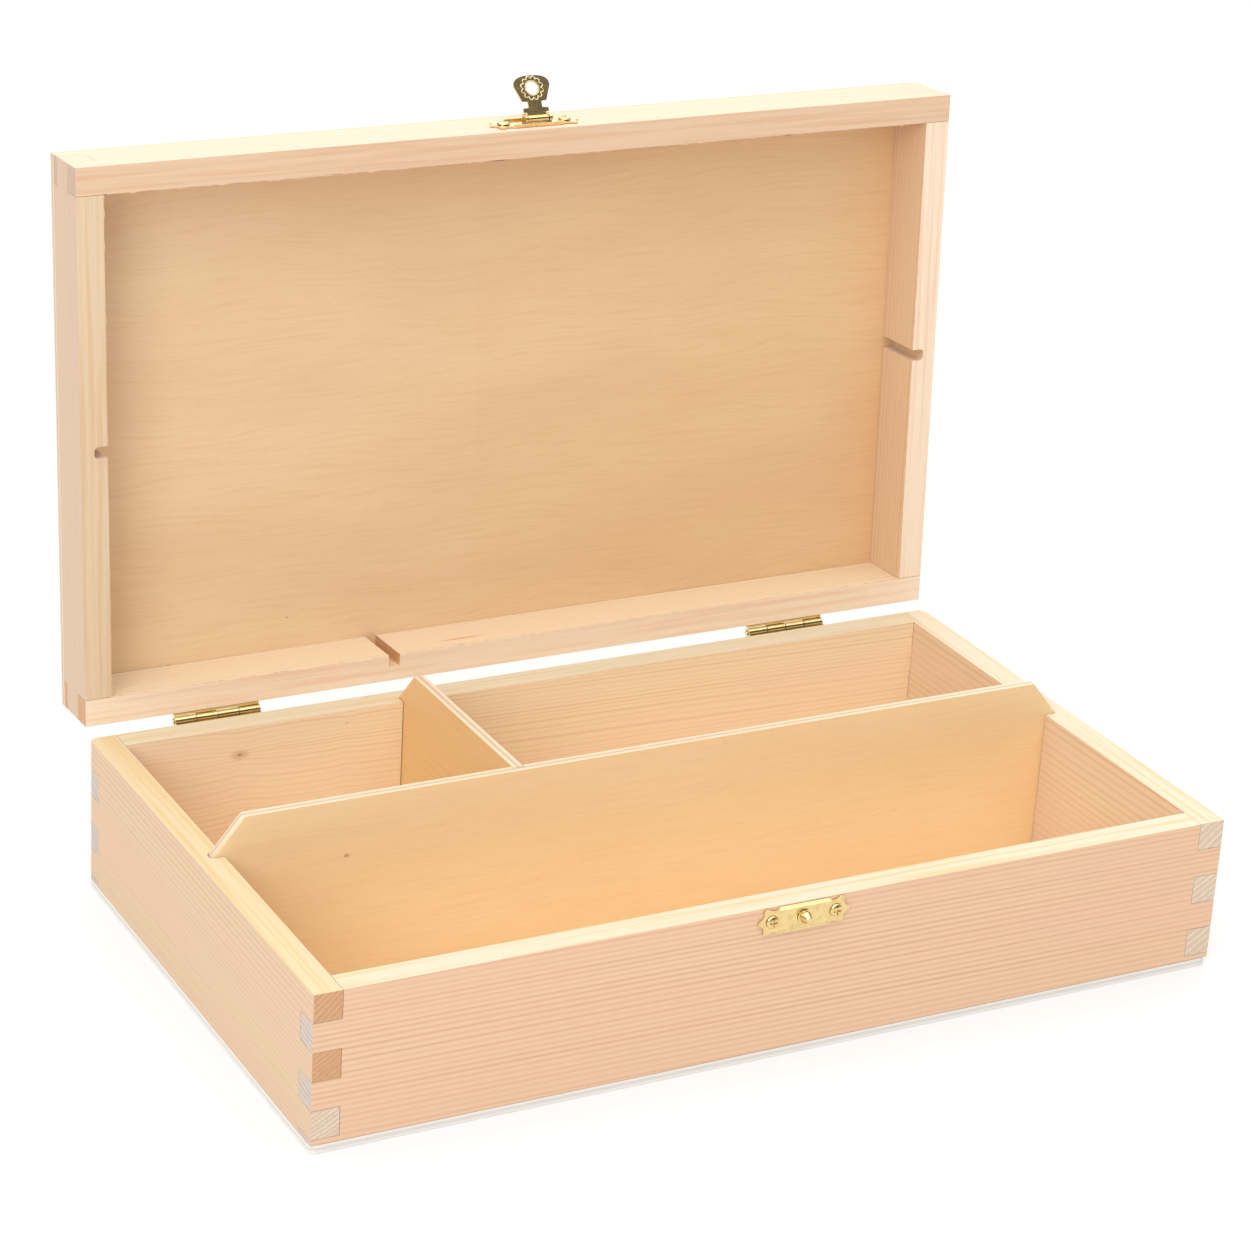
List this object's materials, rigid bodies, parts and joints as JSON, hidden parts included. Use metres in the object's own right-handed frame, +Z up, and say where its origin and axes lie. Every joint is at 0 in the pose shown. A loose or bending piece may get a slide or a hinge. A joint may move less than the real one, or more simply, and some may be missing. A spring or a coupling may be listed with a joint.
{
  "type": "wooden toy box",
  "caption": "Shallow finger-jointed pine box with a hinged lid, two slotted plywood dividers and a small brass catch.",
  "frame": {"origin": "centre of the bottom panel's underside", "axes": "+X to the right seen from the front, along the box's length; -Y to the front, where the catch is; +Z up"},
  "size_m": [0.35, 0.2477, 0.2808],
  "materials": {
    "pine": "bare sanded pine, matt",
    "plywood": "bare birch-faced plywood, smooth, matt",
    "brass": "bright brass-plated steel, polished"
  },
  "bodies": {
    "base": {"base_front_wall": "pine", "base_back_wall": "pine", "base_left_wall": "pine", "base_right_wall": "pine", "base_bottom_panel": "plywood", "left_hinge_base_leaf": "brass", "left_hinge_pin": "brass", "left_hinge_base_screw_1": "brass", "left_hinge_base_screw_2": "brass", "right_hinge_base_leaf": "brass", "right_hinge_pin": "brass", "right_hinge_base_screw_1": "brass", "right_hinge_base_screw_2": "brass", "catch_plate": "brass", "catch_stud": "brass", "catch_screw_1": "brass", "catch_screw_2": "brass"},
    "lid": {"lid_front_wall": "pine", "lid_back_wall": "pine", "lid_left_wall": "pine", "lid_right_wall": "pine", "lid_panel": "plywood", "left_hinge_lid_leaf": "brass", "left_hinge_lid_screw_1": "brass", "left_hinge_lid_screw_2": "brass", "right_hinge_lid_leaf": "brass", "right_hinge_lid_screw_1": "brass", "right_hinge_lid_screw_2": "brass", "hasp_plate": "brass", "hasp_pin": "brass", "hasp_screw_1": "brass", "hasp_screw_2": "brass"},
    "hasp": {"hasp_flap": "brass"},
    "long_divider_board": {"long_divider": "plywood"},
    "cross_divider_board": {"cross_divider": "plywood"}
  },
  "joints": [
    {"name": "lid_hinge", "type": "hinge", "parent": "base", "child": "lid", "pos_m": [0, 0.10495, 0.058], "axis": [1, 0, 0], "range_deg": [0, 93]},
    {"name": "hasp_hinge", "type": "hinge", "parent": "lid", "child": "hasp", "pos_m": [0.0026, 0.12205, 0.26684], "axis": [1, 0, 0], "range_deg": [0, 117]},
    {"name": "long_divider_slide", "type": "slide", "parent": "base", "child": "long_divider_board", "axis": [0, 0, 1], "range_m": [0, 0.007]},
    {"name": "cross_divider_slide", "type": "slide", "parent": "base", "child": "cross_divider_board", "axis": [0, 0, 1], "range_m": [0, 0.007]}
  ]
}
